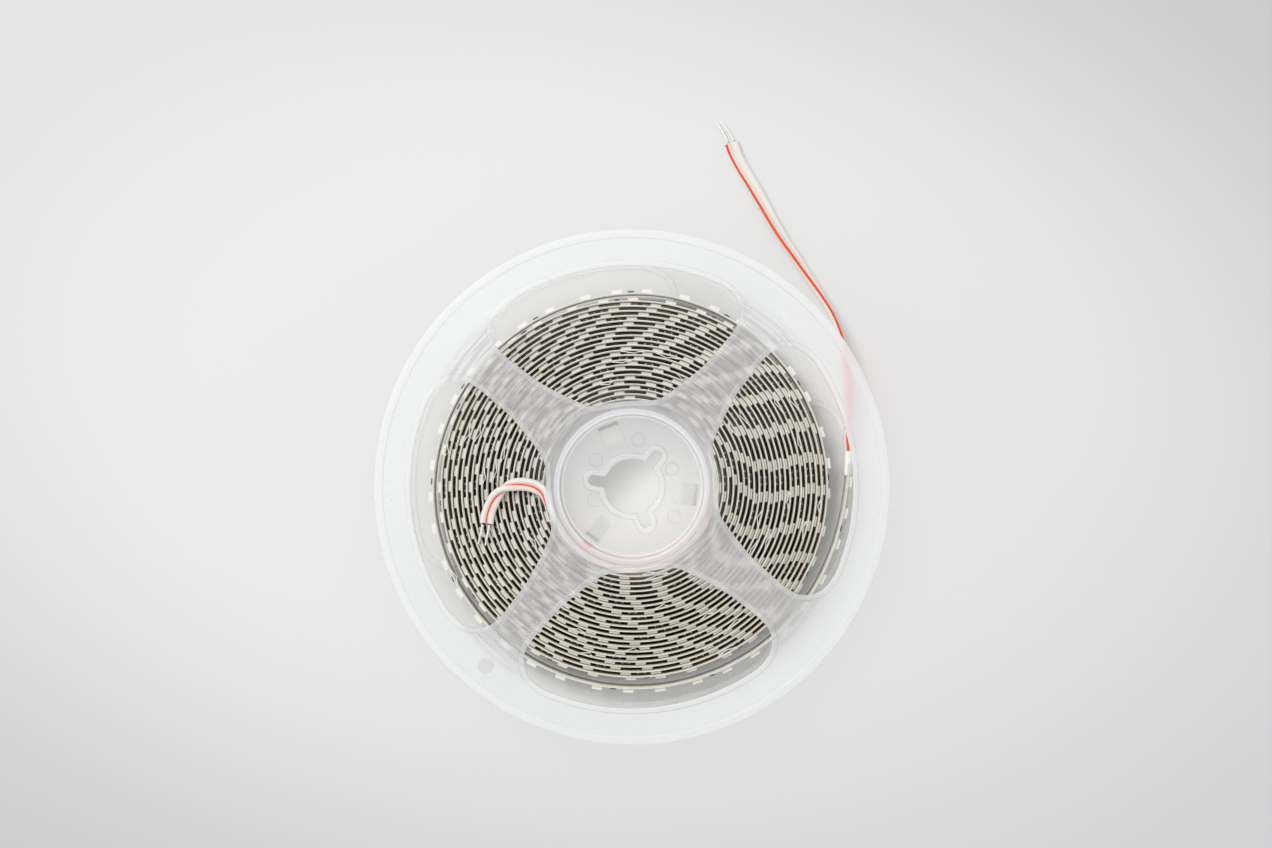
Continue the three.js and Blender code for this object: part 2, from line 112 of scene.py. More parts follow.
def evenly(loop, count):
    """The same closed loop with its points at equal steps of length."""
    around = np.concatenate([loop, loop[:1]])
    length = np.concatenate([[0], np.cumsum(np.linalg.norm(np.diff(around, axis=0), axis=1))])
    places = np.linspace(0, length[-1], count, endpoint=False)
    return np.stack([np.interp(places, length, around[:, k]) for k in range(2)], axis=-1)


def moved_out(loop, distance):
    """A counterclockwise loop with each point moved along its outward normal."""
    along = np.roll(loop, -1, axis=0) - np.roll(loop, 1, axis=0)
    along /= np.linalg.norm(along, axis=1, keepdims=True)
    return loop + distance * np.stack([along[:, 1], -along[:, 0]], axis=-1)


def softened(corners, cuts):
    """A profile whose inner corners are cut back by the given lengths and bridged by a quadratic curve:
    (1-t)^2 start + 2t(1-t) corner + t^2 end."""
    corners = np.asarray(corners, float)
    t = np.linspace(0, 1, 5)[:, None]
    parts = [corners[:1]]
    for before, corner, after, cut in zip(corners, corners[1:], corners[2:], cuts):
        start = corner + (before - corner) * cut / np.linalg.norm(before - corner)
        end = corner + (after - corner) * cut / np.linalg.norm(after - corner)
        parts.append((1 - t) ** 2 * start + 2 * t * (1 - t) * corner + t**2 * end)
    parts.append(corners[-1:])
    return np.concatenate(parts)


def grid(points, wrap_rows=False, wrap_columns=False):
    """Quads over a grid of points, rows by columns, closed on itself where asked."""
    rows, columns = points.shape[:2]
    index = np.arange(rows * columns).reshape(rows, columns)
    if wrap_rows:
        index = np.concatenate([index, index[:1]])
    if wrap_columns:
        index = np.concatenate([index, index[:, :1]], axis=1)
    quads = np.stack([index[:-1, :-1], index[:-1, 1:], index[1:, 1:], index[1:, :-1]], axis=-1)
    return points.reshape(-1, 3), quads.reshape(-1, 4)


def band(outline, profile):
    """A profile carried round a closed outline: outline(offset) at each of the profile's heights."""
    rings = []
    for offset, height in profile:
        loop = outline(offset)
        rings.append(np.column_stack([loop, np.full(len(loop), height)]))
    return grid(np.array(rings), wrap_columns=True)


def flat(height, outer, holes):
    """A level face between an outer loop and its holes, as constrained Delaunay triangles."""
    loops = [outer] + holes
    points = np.concatenate(loops)
    edges = []
    start = 0
    for loop in loops:
        step = np.arange(len(loop))
        edges.append(np.stack([step, (step + 1) % len(loop)], axis=-1) + start)
        start += len(loop)
    found = delaunay_2d_cdt(points.tolist(), np.concatenate(edges).tolist(), [], 0, 1e-7)
    corners = np.array([tuple(v) for v in found[0]])
    triangles = np.array(found[2])
    middles = corners[triangles].mean(axis=1)
    keep = inside(middles, outer)
    for hole in holes:
        keep &= ~inside(middles, hole)
    return np.column_stack([corners, np.full(len(corners), height)]), triangles[keep]


def inside(points, loop):
    """True for points within a closed loop: the number of loop edges crossed to the right is odd."""
    a, b = loop, np.roll(loop, -1, axis=0)
    x, y = points[:, 0, None], points[:, 1, None]
    spans = (a[:, 1] > y) != (b[:, 1] > y)
    rise = np.where(b[:, 1] == a[:, 1], 1, b[:, 1] - a[:, 1])
    crossing = a[:, 0] + (y - a[:, 1]) * (b[:, 0] - a[:, 0]) / rise
    return (spans & (x < crossing)).sum(axis=1) % 2 == 1


def square_to(line):
    """Two directions square to a path at each of its points: one level, one rising."""
    along = np.gradient(line, axis=0)
    along /= np.linalg.norm(along, axis=1, keepdims=True)
    side = np.cross(along, (0, 0, 1))
    side /= np.linalg.norm(side, axis=1, keepdims=True)
    return side, np.cross(side, along)


def rod(rings, slot, smooth, end_slot):
    """A closed rod as three patches: its side over the rings of points, and a flat cap at each end."""
    points, quads = grid(rings, wrap_columns=True)
    count = rings.shape[1]
    cap = np.arange(count)[None]
    return [(points, quads, slot, smooth), (points[:count], cap[:, ::-1], 0, False),
            (points[-count:], cap, end_slot, False)]


def piece(name, patches, materials, weld=False, uv=None):
    """Puts patches into one mesh object. A patch is its points, its faces, its material's place and
    whether it shades smooth."""
    starts = np.cumsum([0] + [len(patch[0]) for patch in patches])
    points = np.concatenate([patch[0] for patch in patches]) * MM
    loops = np.concatenate([(patch[1] + start).ravel() for patch, start in zip(patches, starts)])
    sides = np.concatenate([np.full(len(patch[1]), patch[1].shape[1]) for patch in patches])
    slots = np.concatenate([np.full(len(patch[1]), patch[2]) for patch in patches])
    smooth = np.concatenate([np.full(len(patch[1]), patch[3]) for patch in patches])
    mesh = bpy.data.meshes.new(name)
    mesh.vertices.add(len(points))
    mesh.vertices.foreach_set("co", points.ravel())
    mesh.loops.add(len(loops))
    mesh.loops.foreach_set("vertex_index", loops.astype(np.int32))
    mesh.polygons.add(len(sides))
    mesh.polygons.foreach_set("loop_start", (np.cumsum(sides) - sides).astype(np.int32))
    mesh.polygons.foreach_set("material_index", slots.astype(np.int32))
    mesh.polygons.foreach_set("use_smooth", smooth.astype(bool))
    if uv is not None:
        layer = mesh.uv_layers.new(name="UVMap")
        layer.data.foreach_set("uv", uv[loops].ravel())
    mesh.update(calc_edges=True)
    if weld:
        shape = bmesh.new()
        shape.from_mesh(mesh)
        bmesh.ops.remove_doubles(shape, verts=shape.verts, dist=1e-6)
        bmesh.ops.recalc_face_normals(shape, faces=shape.faces)
        shape.to_mesh(mesh)
        shape.free()
    mesh.validate()
    for material in materials:
        mesh.materials.append(material)
    made = bpy.data.objects.new(name, mesh)
    bpy.context.scene.collection.objects.link(made)
    return made


# ---------------------------------------------------------------- finishes

class Number:
    """A shader number. Its operators add Math nodes to the finish that it belongs to."""

    def __init__(self, finish, socket):
        self.finish = finish
        self.socket = socket

    def maths(self, operation, *inputs):
        """The result of one Math node."""
        made = self.finish.node("ShaderNodeMath", {"operation": operation}, dict(enumerate(inputs)))
        return Number(self.finish, made.outputs[0])

    def __add__(self, other):
        return self.maths("ADD", self, other)

    __radd__ = __add__

    def __mul__(self, other):
        return self.maths("MULTIPLY", self, other)

    __rmul__ = __mul__

    def __sub__(self, other):
        return self.maths("SUBTRACT", self, other)

    def __rsub__(self, other):
        return self.maths("SUBTRACT", other, self)

    def __pow__(self, other):
        return self.maths("POWER", self, other)

    def __abs__(self):
        return self.maths("ABSOLUTE", self)

    def between(self, low, high):
        """0 below low, 1 above high, smooth between."""
        made = self.finish.node("ShaderNodeMapRange", {"interpolation_type": "SMOOTHSTEP"},
                                {"Value": self, "From Min": low, "From Max": high})
        return Number(self.finish, made.outputs["Result"])

    def between_mm(self, low, high):
        """As between, for a place in millimetres."""
        return self.between(low * MM, high * MM)


class Finish:
    """A material while it is made."""

    def __init__(self, name):
        self.material = bpy.data.materials.new(name)
        self.material.use_nodes = True
        self.material.node_tree.nodes.clear()
        self.output = self.node("ShaderNodeOutputMaterial")

    def node(self, kind, settings=None, sockets=None):
        """Adds a node: its settings first, then the values or links of its sockets."""
        made = self.material.node_tree.nodes.new(kind)
        for name, value in (settings or {}).items():
            setattr(made, name, value)
        for name, value in (sockets or {}).items():
            if isinstance(value, Number):
                value = value.socket
            if isinstance(value, bpy.types.NodeSocket):
                self.material.node_tree.links.new(value, made.inputs[name])
            else:
                made.inputs[name].default_value = value
        return made

    def place(self, scale=(1, 1, 1)):
        """Object coordinates, stretched by a scale."""
        where = self.node("ShaderNodeTexCoord").outputs["Object"]
        return self.node("ShaderNodeMapping", {}, {"Vector": where, "Scale": scale}).outputs[0]

    def noise(self, scale, detail, vector=None):
        """Soft noise, around one half."""
        made = self.node("ShaderNodeTexNoise", {}, {
            "Vector": vector or self.place(), "Scale": scale, "Detail": detail, "Roughness": 0.5})
        return Number(self, made.outputs[0])

    def split(self, vector):
        """The three numbers of a vector."""
        made = self.node("ShaderNodeSeparateXYZ", {}, {"Vector": vector})
        return [Number(self, socket) for socket in made.outputs]

    def mix(self, share, first, second):
        """A colour between two colours."""
        made = self.node("ShaderNodeMix", {"data_type": "RGBA"}, {"Factor": share})
        for socket, value in ((made.inputs[6], first), (made.inputs[7], second)):
            if isinstance(value, bpy.types.NodeSocket):
                self.material.node_tree.links.new(value, socket)
            else:
                socket.default_value = (*value, 1)
        return made.outputs[2]

    def bump(self, height, distance, strength):
        """A normal from a height, in metres of relief."""
        made = self.node("ShaderNodeBump", {}, {
            "Height": height, "Distance": distance, "Strength": strength})
        return made.outputs[0]

    def shader(self, colour, **sockets):
        """A Principled shader, its sockets named with underscores for spaces."""
        inputs = {name.replace("_", " "): value for name, value in sockets.items()}
        return self.node("ShaderNodeBsdfPrincipled", {}, {"Base Color": colour, **inputs}).outputs[0]

    def surface(self, colour, **sockets):
        """The finished surface."""
        self.close(self.shader(colour, **sockets))

    def either(self, share, first, second):
        """A shader between two shaders."""
        return self.node("ShaderNodeMixShader", {}, {0: share, 1: first, 2: second}).outputs[0]

    def close(self, shader):
        """Joins a shader to the material's output."""
        self.material.node_tree.links.new(shader, self.output.inputs["Surface"])


PLASTIC_IOR = 1.46
STREAKS_PER_TURN = 1.7
STREAKS_PER_RADIAN = 3.0
PAINTED_LIGHT_RIGHT = (1.0, 1.0, 0.985)
LOWER_CUP = (0.96, 0.955, 0.95)
OVER_ROLL = (0.945, 0.94, 0.965)
STREAK_PAINTED_LIGHT = (0.99, 0.985, 1.0)
STREAK_PAINTED_SHADE = (0.77, 0.765, 0.795)
STREAK_PAINTED_SHADE_LOWER_RIGHT = (0.86, 0.855, 0.875)
CUP_SHADE = (0.85, 0.855, 0.86)
CUP_LIGHT = (1.0, 0.985, 0.98)
RED_MARK = (0.95, 0.3, 0.28)
LEAD_PINK = (0.98, 0.84, 0.82)
THIN_SHEET = (0.965, 0.97, 0.965, 1)
SHEATH_WHITE = (0.92, 0.885, 0.85)
SHEATH_SOILED = (0.84, 0.8, 0.76)
STRIPE_GLOW = (0.93, 0.55, 0.45)
STRIPE_RED = (0.83, 0.085, 0.02)
UNDER_FLANGE_RED = (0.95, 0.16, 0.26)


def frosted(name, first, second, clearness, lower):
    """Natural white moulding: satin, milky, letting a blurred picture of what is behind through, and whiter
    where it is thick, in the beads and the collar. Light from the lamps passes it as through a thin frosted
    sheet. The hub ring is painted a little pink where the lead is wound under it, for the lead showing
    through. The lower half has painted light: it is lighter towards the right, where the roll shades it.
    The upper half also has painted streaks along the strip's turns on its spokes, a picture of the roll
    seen through them: painted light for the turns' edges and painted shade for the gaps between the turns,
    the dark streaks lighter towards the lower right as painted light. Its cup has painted shade, darker
    towards the upper left, and the hub ring has a painted red mark where the lead's stripe shows through."""
    finish = Finish(name)
    x, y, height = finish.split(finish.place())
    if lower:
        height = OVERALL_HEIGHT * MM - height
    radius = (x**2 + y**2) ** 0.5
    bead = height.between_mm(14.9, 15.12)
    collar = height.between_mm(9.1, 9.8) * height.between_mm(10.4, 10.2)
    ring = radius.between_mm(17.0, 17.7) * radius.between_mm(21.0, 19.6)
    in_cup = radius.between_mm(17.9, 17.3)
    cup_wall = radius.between_mm(18.6, 17.4)
    wall_foot = radius.between_mm(16.9, 17.4) * radius.between_mm(18.6, 18.0)
    hub_bead = radius.between_mm(22.0, 20.0)
    over_roll = radius.between_mm(56.0, 51.0)
    outside_roll = radius.between_mm(51.0, 56.0)
    pink = ring * (x * 0.17 - y).between_mm(0.0, 17.0)
    cloud = finish.noise(90, 3)
    grain = finish.noise(6000, 2)
    flow = finish.noise(220, 2, finish.place((1, 1, 0.2)))
    tone = finish.mix(cloud, first, second)
    if lower:
        # Painted light: the lower half is lighter towards the right, where the roll shades it.
        tone = finish.mix((x * 0.94 - y * 0.34).between_mm(0, 50), tone, PAINTED_LIGHT_RIGHT)
        tone = finish.mix(in_cup, tone, LOWER_CUP)
    else:
        tone = finish.mix(over_roll, tone, OVER_ROLL)
        # Painted streaks: a picture of the roll's turns seen through the spokes. The pale streaks are painted
        # light for the turns' edges, and the dark ones are painted shade for the gaps between the turns. The
        # dark streaks are lighter towards the lower right, as painted light.
        angle = y.maths("ARCTAN2", y, x)
        turns = radius * (1 / (TURN_PITCH * MM)) - angle * (0.5 / math.pi)
        along_turns = finish.node("ShaderNodeCombineXYZ", {}, {
            0: turns * STREAKS_PER_TURN, 1: angle * STREAKS_PER_RADIAN}).outputs[0]
        streaks = finish.noise(1.0, 2, along_turns).between(0.35, 0.65)
        dark = finish.mix((x - y).between_mm(25, 45), STREAK_PAINTED_SHADE, STREAK_PAINTED_SHADE_LOWER_RIGHT)
        spoke = over_roll * radius.between_mm(19.0, 21.0)
        tone = finish.mix(spoke, tone, finish.mix(streaks, STREAK_PAINTED_LIGHT, dark))
        # Painted shade: the cup is darker towards the upper left, where its wall shades its floor, and lighter
        # towards the lower right.
        cup = finish.mix((x * 0.4 - y).between_mm(-14, 14), CUP_SHADE, CUP_LIGHT)
        tone = finish.mix(in_cup, tone, cup)
        beside = abs((x + 11.33 * MM) * 0.788 - (y + 14.5 * MM) * 0.616).between_mm(1.6, 1.1)
        red = beside * abs(radius - 17.9 * MM).between_mm(0.5, 0.2) * y.between_mm(0, -5)
        tone = finish.mix(red * 0.8, tone, RED_MARK)
    colour = finish.mix(pink * 0.5, tone, LEAD_PINK)
    relief = finish.bump(grain + flow * 0.15, 0.08 * MM, 0.6)
    milky = finish.shader(colour, Roughness=0.23 + 0.06 * cloud, Transmission_Weight=clearness, IOR=PLASTIC_IOR,
                          Normal=relief)
    white = finish.shader(colour, Roughness=0.3 + 0.06 * cloud, Transmission_Weight=0.3, IOR=PLASTIC_IOR,
                          Normal=relief)
    lit = finish.node("ShaderNodeBsdfTransparent", {}, {"Color": THIN_SHEET}).outputs[0]
    path = finish.node("ShaderNodeLightPath").outputs
    thick = bead * (0.25 + 0.35 * hub_bead) + 0.3 * collar + 0.3 * outside_roll + 0.08 * cup_wall
    thick = thick + 0.6 * wall_foot
    seen = finish.either(path["Is Diffuse Ray"], finish.either(thick, milky, white), lit)
    finish.close(finish.either(path["Is Shadow Ray"], seen, lit))
    return finish.material


def film_finish(name, light, dark, wear):
    """Cream film: pale along its edge, another colour down its faces between the turns, mottled along its
    length. Where the faces' colour is dark, it is partly a brownish backing and partly painted shade, for the
    shade down in the gaps between the wound turns."""
    finish = Finish(name)
    _, _, height = finish.split(finish.place())
    lip = height.between_mm(STRIP_TOP - 0.4, STRIP_TOP - 0.02)
    mottle = finish.noise(900, 3)
    patches = finish.noise(160, 2)
    # Painted shade: below the lip the faces take the darker colour, for the shade down between the turns.
    colour = finish.mix(lip, dark, light)
    worn = finish.mix(mottle.between(0.45, 0.75) * 0.5, colour, wear)
    finish.surface(
        finish.mix(patches.between(0.45, 0.75) * 0.2, worn, dark),
        Roughness=0.5 + 0.15 * mottle,
        Normal=finish.bump(mottle, 0.05 * MM, 0.3),
    )
    return finish.material


def plain_finish(name, first, second, scale, roughness, **sockets):
    """One colour drifting to another, with fine relief."""
    finish = Finish(name)
    drift = finish.noise(scale, 3)
    grain = finish.noise(scale * 6, 2)
    finish.surface(
        finish.mix(drift, first, second),
        Roughness=roughness + 0.12 * grain,
        Normal=finish.bump(grain, 0.03 * MM, 0.3),
        **sockets,
    )
    return finish.material


def sheath_finish(name, stripe_first, stripe_last, stripe_half, both_sides):
    """Soft white sheath. Its UV runs along the lead, then once round it, and places the red stripe, which
    moves from one place on the section to another over the lead's first 40 mm. The outer lead, striped on
    one side only, is redder where it lies under the flange, so that its tint shows through."""
    finish = Finish(name)
    along, around, _ = finish.split(finish.node("ShaderNodeTexCoord").outputs["UV"])
    if both_sides:
        around = 0.5 - abs(around - 0.5)
    wander = (finish.noise(120, 2) - 0.5) * 0.02
    middle = along.between_mm(12, 40) * (stripe_last - stripe_first) + stripe_first
    from_stripe = 0.5 - abs(abs(around - middle + wander) - 0.5)
    stripe = 1 - from_stripe.between(stripe_half - 0.008, stripe_half + 0.008)
    glow = 1 - from_stripe.between(stripe_half, stripe_half + 0.13)
    smudge = finish.noise(400, 3)
    white = finish.mix(smudge, SHEATH_WHITE, SHEATH_SOILED)
    tinted = finish.mix(glow * 0.45, white, STRIPE_GLOW)
    if not both_sides:
        under_flange = along.between_mm(6, 12) * along.between_mm(27, 21)
        tinted = finish.mix(under_flange, tinted, UNDER_FLANGE_RED)
    finish.surface(
        finish.mix(stripe, tinted, STRIPE_RED),
        Roughness=0.3 + 0.15 * smudge,
        Subsurface_Weight=0.15,
        Subsurface_Scale=0.6 * MM,
        Normal=finish.bump(finish.noise(1500, 2), 0.03 * MM, 0.3),
    )
    return finish.material


VIEW_CENTRE = (0.001, 0.0155)


def floor_finish():
    """White table with painted shade that falls off gently towards the corners of the view, more at two
    opposite corners than at the other two. Under the reel's spindle hole it runs from grey to white, as the
    photograph shows it there: a painted shadow of the hub's wall at the upper left and a painted pool of the
    light that falls through the hole at the lower right."""
    finish = Finish("table_white")
    x, y, _ = finish.split(finish.place())
    x, y = x - VIEW_CENTRE[0], y - VIEW_CENTRE[1]
    # Painted shade: the table darkens towards the corners of the view.
    corner = ((x**2 + (y * 1.6) ** 2) ** 0.5).between_mm(100, 240)
    slant = (x * y).between(-0.014, 0.014)
    cloud = finish.noise(9, 2)
    near = finish.mix(cloud, (0.84, 0.84, 0.84), (0.82, 0.82, 0.82))
    far = finish.mix(slant, (0.72, 0.72, 0.725), (0.63, 0.63, 0.63))
    # Painted shadow and light under the spindle hole: grey where the hub's wall shades the table, white where
    # light falls through the hole.
    from_hub = (x**2 + (y + VIEW_CENTRE[1]) ** 2) ** 0.5
    through = finish.mix((x - y).between_mm(5, 21), (0.66, 0.66, 0.66), (1.0, 1.0, 1.0))
    table = finish.mix(corner, near, far)
    colour = finish.mix(from_hub.between_mm(12.5, 11.5), table, through)
    finish.surface(colour, Roughness=0.75, Specular_IOR_Level=0.2)
    return finish.material


upper_plastic = frosted("frosted_plastic_upper", (0.945, 0.952, 0.965), (0.965, 0.972, 0.98),
                        clearness=0.79, lower=False)
# The lower half's two tones are greyer than the upper half's: painted shade, for the shade of the upper flange
# over it. In its cup it takes the paler cup tone.
lower_plastic_painted_light_and_shade = frosted("frosted_plastic_lower", (0.88, 0.88, 0.875), (0.91, 0.91, 0.905),
                        clearness=0.8, lower=True)
# The wound film and liner have dark brown faces, partly backing colour and partly painted shade of the gaps
# between the turns. The loose copies are the same film and liner with pale faces, without that shade.
film_wound_backing_and_shade = film_finish("strip_film_cream", (0.97, 0.955, 0.87), (0.54, 0.44, 0.29), (0.95, 0.93, 0.85))
liner_wound_backing_and_shade = film_finish("strip_liner_pale", (0.94, 0.92, 0.83), (0.5, 0.4, 0.25), (0.88, 0.85, 0.76))
film_loose = film_finish("strip_film_loose", (0.93, 0.915, 0.84), (0.86, 0.84, 0.76), (0.92, 0.9, 0.83))
liner_loose = film_finish("strip_liner_loose", (0.92, 0.9, 0.82), (0.88, 0.86, 0.79), (0.86, 0.83, 0.75))
# The packages on the wound turns take a darker copy of the packages' white, as painted shade for the gaps
# between the turns. The outermost turn's packages take the brighter copy.
package_white_painted_shade = plain_finish("package_white_painted_shade", (0.86, 0.855, 0.81), (0.76, 0.755, 0.71), 1400, 0.4)
package_bright = plain_finish("package_bright", (0.92, 0.92, 0.86), (0.84, 0.84, 0.78), 1400, 0.4)
crease_white = plain_finish("liner_crease", (0.985, 0.98, 0.95), (0.95, 0.94, 0.9), 1400, 0.45)
phosphor = plain_finish("phosphor_yellow", (0.85, 0.66, 0.22), (0.8, 0.55, 0.15), 1800, 0.25)
terminal = plain_finish("terminal_tin", (0.72, 0.72, 0.72), (0.55, 0.55, 0.56), 1500, 0.3, Metallic=1.0)
resistor_body = plain_finish("resistor_slate", (0.06, 0.06, 0.07), (0.11, 0.11, 0.12), 1500, 0.35)
joint_white = plain_finish("joint_white", (0.97, 0.97, 0.93), (0.93, 0.93, 0.88), 500, 0.4)
tinned = plain_finish("tinned_strand", (0.92, 0.91, 0.89), (0.98, 0.975, 0.96), 1500, 0.45, Metallic=0.7)
outer_sheath = sheath_finish("sheath_outer", stripe_first=0.015, stripe_last=0.07, stripe_half=0.045,
                             both_sides=False)
inner_sheath = sheath_finish("sheath_inner", stripe_first=0.235, stripe_last=0.235, stripe_half=0.018,
                             both_sides=True)


# ---------------------------------------------------------------- camera and light

camera_data = bpy.data.cameras.new("camera")
camera_data.sensor_width = 36
camera_data.lens = 65.4
camera_data.clip_start = 0.01
camera_data.clip_end = 20
camera = bpy.data.objects.new("camera", camera_data)
camera.location = (0.0010, 0.01545, 0.5826)
bpy.context.scene.collection.objects.link(camera)
bpy.context.scene.camera = camera

world = bpy.data.worlds.new("soft_room")
world.use_nodes = True
world.node_tree.nodes["Background"].inputs["Color"].default_value = (1, 1, 1, 1)
world.node_tree.nodes["Background"].inputs["Strength"].default_value = 0.645
bpy.context.scene.world = world

window_light = bpy.data.lights.new("window_light", "AREA")
window_light.shape = "RECTANGLE"
window_light.size = 0.4
window_light.size_y = 0.4
window_light.energy = 4.25
lamp = bpy.data.objects.new("window_light", window_light)
lamp.location = (-0.38, 0.41, 0.85)
lamp.rotation_euler = (math.radians(-23.8), math.radians(-24.1), 0)
bpy.context.scene.collection.objects.link(lamp)

# The table is wide enough to fill every view, and lies just under the reel so that they share no face
TABLE_HALF_WIDTH = 2500.0
TABLE_HEIGHT = -0.05
edge = np.array([[-1, -1], [1, -1], [1, 1], [-1, 1]]) * TABLE_HALF_WIDTH
table_points = np.column_stack([edge, np.full(4, TABLE_HEIGHT)])
table_top = piece("table_top", [(table_points, np.arange(4)[None], 0, False)], [floor_finish()])


# ---------------------------------------------------------------- leads

CORE_RADIUS = 0.8
CORE_OFFSET = 0.82

# Each point of a path is x, y, z and the section's twist in degrees
OUTER_LEAD_PATH = [
    [53.75, 8.8, 5.9, -90], [53.55, 12.3, 5.9, -90], [54.1, 18.44, 5.9, -90], [54.25, 24.18, 5.9, -90],
    [53.5, 29.9, 5.8, -90], [52.5, 35.7, 5.4, -90], [51.5, 38.9, 5.0, -88], [49.8, 43.2, 4.2, -80],
    [47.1, 48.0, 3.4, -70], [43.9, 52.9, 2.7, -60], [41.1, 57.3, 2.2, -50], [38.1, 61.9, 1.8, -40],
    [35.5, 66.4, 1.45, -30], [32.9, 71.2, 1.2, -20], [30.2, 76.0, 1.03, -12], [28.0, 79.7, 0.94, -6],
    [26.1, 83.3, 0.86, 0], [25.0, 86.2, 0.85, 0],
]
# The inner lead starts with a wrap round the hub, given as angle and height
HUB_WRAP_RADIUS = 20.5
HUB_WRAP = [
    [337, 6.0], [318, 6.2], [300, 6.7], [282, 7.5], [264, 8.5], [246, 9.6], [230, 10.6], [216, 11.35],
    [205, 11.7],
]
INNER_LEAD_RUN = [
    [-20.45, -4.9, 11.75, 75], [-21.89, -1.46, 11.7, 40], [-23.86, -0.1, 11.5, 10], [-26.29, 0.5, 11.4, -2],
    [-28.56, 0.52, 11.55, -18], [-30.76, 0.0, 11.68, -60], [-32.4, -1.11, 11.68, -118],
    [-33.88, -2.84, 11.5, -160], [-34.99, -5.07, 11.2, -178], [-35.7, -7.2, 11.0, -180],
    [-35.98, -9.08, 10.95, -180],
]


def lead_section(parting):
    """Two round cores side by side joined by a web, as one outline counterclockwise from the striped
    core's outermost point. A parting of 1 draws the web in and sets the cores apart."""
    limit = math.radians(138 + 34 * parting)
    offset = CORE_OFFSET + 0.13 * parting
    turn = np.linspace(0, limit, 12)
    x = offset + CORE_RADIUS * np.cos(turn)
    z = CORE_RADIUS * np.sin(turn)
    quarter = np.stack([x, z], axis=-1)
    upper = np.concatenate([quarter * (-1, 1), quarter[::-1]])
    lower = upper[::-1][1:-1] * (1, -1)
    return np.concatenate([upper, lower])


def lead(name, path, material, parted):
    """A twin lead: the section stands square to the path, turned by the path's twist, and the cores part
    over the last few millimetres."""
    line = spline(path, 10, False)
    centre, twist = line[:, :3], np.radians(line[:, 3])
    side, rise = square_to(centre)
    wide = side * np.cos(twist)[:, None] + rise * np.sin(twist)[:, None]
    thick = rise * np.cos(twist)[:, None] - side * np.sin(twist)[:, None]
    length = np.concatenate([[0], np.cumsum(np.linalg.norm(np.diff(centre, axis=0), axis=1))])
    parting = np.clip((length - length[-1] + parted) / parted, 0, 1) ** 1.5
    section = np.array([lead_section(p) for p in parting])
    rings = centre[:, None] + section[..., :1] * wide[:, None] + section[..., 1:] * thick[:, None]
    rows, columns = rings.shape[:2]
    around = np.broadcast_to(np.arange(columns) / columns, (rows, columns))
    uv = np.stack([np.broadcast_to(length[:, None] * MM, (rows, columns)), around], axis=-1).reshape(-1, 2)
    made = piece(name, rod(rings, 0, True, 0), [material], uv=np.concatenate([uv, uv[:columns], uv[-columns:]]))
    # Where the section closes on itself, the share round it goes on to 1 and not back to 0
    layer = made.data.uv_layers["UVMap"].data
    corners = np.zeros(2 * len(layer), np.float32)
    layer.foreach_get("uv", corners)
    sides = corners[:8 * (rows - 1) * columns].reshape(-1, 4, 2)
    closing = sides[:, :, 1].max(axis=1) > 1 - 1.5 / columns
    sides[closing, :, 1] += sides[closing, :, 1] == 0
    layer.foreach_set("uv", corners)
    return made, centre * MM, length[-1] * MM


def tinned_end(node, name, turns, points):
    """Twisted strands: a round section with seven lobes, r = 0.245 + 0.055 |cos(3.5 a)|, that turns as it
    goes along and tapers at its cut end."""
    centre = spline(points, 14, False)
    side, rise = square_to(centre)
    share = np.linspace(0, 1, len(centre))[:, None]
    a = np.linspace(0, 2 * np.pi, 28, endpoint=False)[None]
    lobes = 0.245 + 0.055 * np.abs(np.cos(3.5 * (a + 2 * np.pi * turns * share)))
    radius = (lobes * (1 - 0.25 * share**4))[..., None]
    across = np.cos(a)[..., None] * side[:, None] - np.sin(a)[..., None] * rise[:, None]
    made = piece(name, rod(centre[:, None] + radius * across, 0, True, 0), [tinned])
    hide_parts(node)
    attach(made, "root")
    return made


outer_lead, outer_line, outer_length = lead("outer_twin_lead", OUTER_LEAD_PATH, outer_sheath, parted=7)
hub_wrap = [[*polar(HUB_WRAP_RADIUS, angle), height, 90] for angle, height in HUB_WRAP]
inner_lead, inner_line, inner_length = lead("inner_twin_lead", hub_wrap + INNER_LEAD_RUN, inner_sheath, parted=8)
outer_ends = [
    tinned_end("outer_lead_striped_tinned_end", "outer_striped_strand", 1.6,
               [[24.05, 86.5, 0.85], [23.0, 88.7, 0.72], [21.55, 91.03, 0.5]]),
    tinned_end("outer_lead_plain_tinned_end", "outer_plain_strand", 1.4,
               [[25.55, 86.95, 0.85], [24.2, 89.2, 0.72], [22.3, 91.6, 0.5]]),
]
inner_ends = [
    tinned_end("inner_lead_plain_tinned_end", "inner_plain_strand", 1.5,
               [[-36.85, -9.5, 10.95], [-37.5, -11.9, 10.85], [-38.0, -14.3, 10.7]]),
    tinned_end("inner_lead_striped_tinned_end", "inner_striped_strand", 1.3,
               [[-35.25, -9.5, 10.95], [-35.8, -12.1, 10.85], [-36.3, -14.6, 10.7]]),
]
for made, node in ((outer_lead, "outer_lead"), (inner_lead, "inner_lead")):
    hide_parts(node)
    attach(made, "root")


# ---------------------------------------------------------------- reel halves

# Where the softened profiles end and the level faces begin: radii about the axis, then distances out from
# a window's, the spindle hole's and a snap window's edge
DISC_OUTER = FLANGE_RADIUS - 2.6
DISC_INNER = 19.45
UNDER_OUTER = FLANGE_RADIUS - 0.5
UNDER_INNER = 19.6
FLOOR_OUTER = 17.2
FLOOR_UNDER_OUTER = 18.6
WINDOW_TOP_FOOT = 1.62
WINDOW_LOW_FOOT = 0.4
COLLAR_FOOT = 1.75
SPINDLE_LOW_FOOT = 0.3
SNAP_TOP_FOOT = 0.3
SNAP_LOW_FOOT = 0.12
TAIL_HOLE_FOOT = 0.2
SNAP_OUTER = HUB_BORE - 1.3
SNAP_OUTER_CORNER = 0.15

